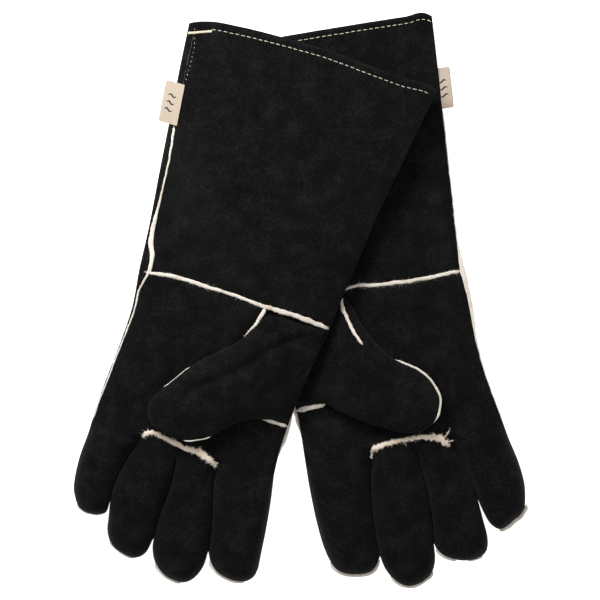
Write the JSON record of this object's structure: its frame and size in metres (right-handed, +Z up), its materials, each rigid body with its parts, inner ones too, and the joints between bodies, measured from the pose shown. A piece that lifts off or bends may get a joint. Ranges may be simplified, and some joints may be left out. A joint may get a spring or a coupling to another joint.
{
  "type": "heat resistant glove pair",
  "caption": "Pair of long gauntlet gloves in black split leather with pale welted seams, lined against heat for tending a grill or fire.",
  "frame": {"origin": "middle of the pair's bounding box, on the surface the gloves lie on", "axes": "+Y from the fingertips towards the cuffs, +X towards the right-hand glove's little finger, +Z up, out of the palms"},
  "size_m": [0.332, 0.4198, 0.0372],
  "materials": {
    "black_suede": "black split cowhide with a short matt nap",
    "welt_leather": "undyed pale split leather, cut edge showing, slightly frayed",
    "lining_cloth": "unbleached cotton, fleecy in the hand and canvas in the cuff",
    "hem_thread": "cream heat resistant sewing thread",
    "label_tape": "beige woven tape, folded double"
  },
  "bodies": {
    "right_glove": {"right_cuff_palm_panel": "black_suede", "right_cuff_back_panel": "black_suede", "right_cuff_lining": "lining_cloth", "right_hem_thread": "hem_thread", "right_palm_panel": "black_suede", "right_back_panel": "black_suede", "right_hand_lining": "lining_cloth", "right_wrist_welt_palm": "welt_leather", "right_wrist_welt_back": "welt_leather", "right_outer_side_welt": "welt_leather", "right_inner_side_welt": "welt_leather", "right_finger_base_welt": "welt_leather", "right_thumb_base_welt": "welt_leather", "right_thumb_root": "black_suede", "right_label": "label_tape"},
    "right_little": {"right_little_palm_side": "black_suede", "right_little_back_side": "black_suede", "right_little_lining": "lining_cloth"},
    "right_ring": {"right_ring_palm_side": "black_suede", "right_ring_back_side": "black_suede", "right_ring_lining": "lining_cloth"},
    "right_middle": {"right_middle_palm_side": "black_suede", "right_middle_back_side": "black_suede", "right_middle_lining": "lining_cloth"},
    "right_index": {"right_index_palm_side": "black_suede", "right_index_back_side": "black_suede", "right_index_lining": "lining_cloth"},
    "right_thumb": {"right_thumb_palm_side": "black_suede", "right_thumb_back_side": "black_suede", "right_thumb_lining": "lining_cloth"},
    "left_glove": {"left_cuff_palm_panel": "black_suede", "left_cuff_back_panel": "black_suede", "left_cuff_lining": "lining_cloth", "left_hem_thread": "hem_thread", "left_palm_panel": "black_suede", "left_back_panel": "black_suede", "left_hand_lining": "lining_cloth", "left_wrist_welt_palm": "welt_leather", "left_wrist_welt_back": "welt_leather", "left_outer_side_welt": "welt_leather", "left_inner_side_welt": "welt_leather", "left_finger_base_welt": "welt_leather", "left_thumb_base_welt": "welt_leather", "left_thumb_root": "black_suede", "left_label": "label_tape"},
    "left_little": {"left_little_palm_side": "black_suede", "left_little_back_side": "black_suede", "left_little_lining": "lining_cloth"},
    "left_ring": {"left_ring_palm_side": "black_suede", "left_ring_back_side": "black_suede", "left_ring_lining": "lining_cloth"},
    "left_middle": {"left_middle_palm_side": "black_suede", "left_middle_back_side": "black_suede", "left_middle_lining": "lining_cloth"},
    "left_index": {"left_index_palm_side": "black_suede", "left_index_back_side": "black_suede", "left_index_lining": "lining_cloth"},
    "left_thumb": {"left_thumb_palm_side": "black_suede", "left_thumb_back_side": "black_suede", "left_thumb_lining": "lining_cloth"}
  },
  "joints": [
    {"name": "left_glove_lift", "type": "slide", "parent": "right_glove", "child": "left_glove", "axis": [0, 0, 1], "range_m": [0, 0.16]},
    {"name": "right_little_curl", "type": "hinge", "parent": "right_glove", "child": "right_little", "pos_m": [0.13333, -0.09759, 0.017], "axis": [-0.9866, -0.1633, 0], "range_deg": [0, 60]},
    {"name": "right_ring_curl", "type": "hinge", "parent": "right_glove", "child": "right_ring", "pos_m": [0.09966, -0.10696, 0.017], "axis": [-0.9866, -0.1633, 0], "range_deg": [0, 60]},
    {"name": "right_middle_curl", "type": "hinge", "parent": "right_glove", "child": "right_middle", "pos_m": [0.06986, -0.11215, 0.017], "axis": [-0.9866, -0.1633, 0], "range_deg": [0, 60]},
    {"name": "right_index_curl", "type": "hinge", "parent": "right_glove", "child": "right_index", "pos_m": [0.02968, -0.11678, 0.017], "axis": [-0.9866, -0.1633, 0], "range_deg": [0, 60]},
    {"name": "right_thumb_lift", "type": "hinge", "parent": "right_glove", "child": "right_thumb", "pos_m": [0.04616, -0.05779, 0.0303], "axis": [-0.2521, -0.9677, 0], "range_deg": [0, 70]},
    {"name": "left_little_curl", "type": "hinge", "parent": "left_glove", "child": "left_little", "pos_m": [-0.1349, -0.09718, 0.017], "axis": [-0.9537, 0.3007, 0], "range_deg": [0, 60]},
    {"name": "left_ring_curl", "type": "hinge", "parent": "left_glove", "child": "left_ring", "pos_m": [-0.1034, -0.10868, 0.017], "axis": [-0.9537, 0.3007, 0], "range_deg": [0, 60]},
    {"name": "left_middle_curl", "type": "hinge", "parent": "left_glove", "child": "left_middle", "pos_m": [-0.07463, -0.11802, 0.017], "axis": [-0.9537, 0.3007, 0], "range_deg": [0, 60]},
    {"name": "left_index_curl", "type": "hinge", "parent": "left_glove", "child": "left_index", "pos_m": [-0.03884, -0.12589, 0.017], "axis": [-0.9537, 0.3007, 0], "range_deg": [0, 60]},
    {"name": "left_thumb_lift", "type": "hinge", "parent": "left_glove", "child": "left_thumb", "pos_m": [-0.05373, -0.06589, 0.0325], "axis": [-0.2672, 0.9636, 0], "range_deg": [0, 70]}
  ]
}
